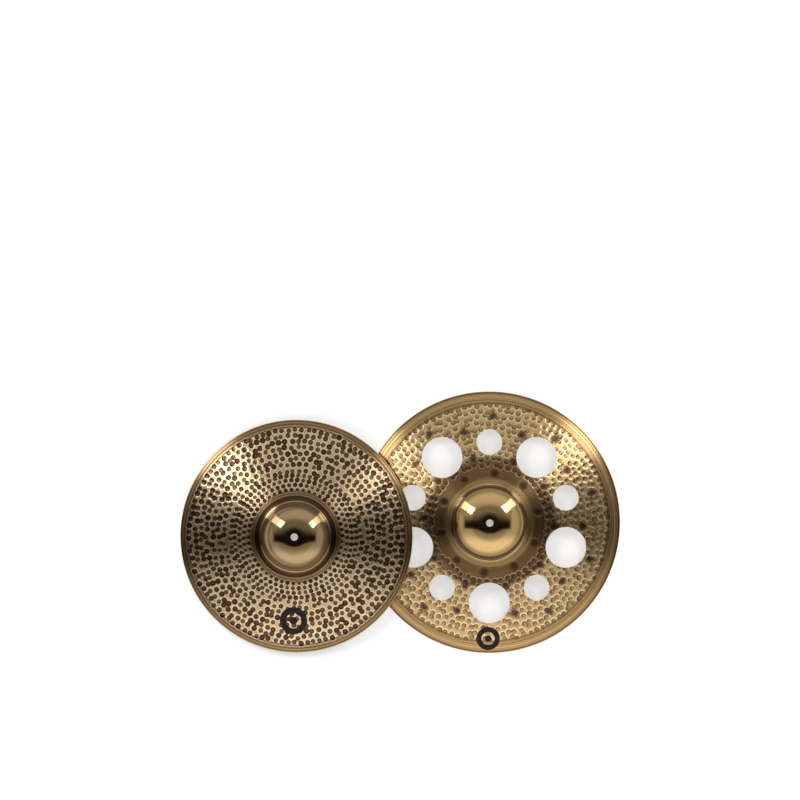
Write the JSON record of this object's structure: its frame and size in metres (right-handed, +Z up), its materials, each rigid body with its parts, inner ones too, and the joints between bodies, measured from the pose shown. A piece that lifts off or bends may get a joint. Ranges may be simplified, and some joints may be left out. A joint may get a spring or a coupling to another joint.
{
  "type": "crash cymbals",
  "caption": "Pair of bronze drum-kit crash cymbals lying flat: a hammered solid crash leaning on a larger crash with a ring of round holes.",
  "frame": {"origin": "on the surface that both cymbals lie on, under the middle of the pair's box", "axes": "+Z up, the way both bells point; +X from the solid crash towards the trash crash; +Y to the far side"},
  "size_m": [0.7684, 0.4572, 0.0599],
  "materials": {
    "crash_bronze": "hammered bronze, lathed at the edge, polished bell",
    "trash_crash_bronze": "hammered and lathed bronze, polished bell"
  },
  "bodies": {
    "trash_crash": {"trash_crash_cymbal": "trash_crash_bronze"},
    "crash": {"crash_cymbal": "crash_bronze"}
  },
  "joints": [
    {"name": "crash_lift", "type": "slide", "parent": "trash_crash", "child": "crash", "axis": [0, 0, 1], "range_m": [0, 0.1]}
  ]
}
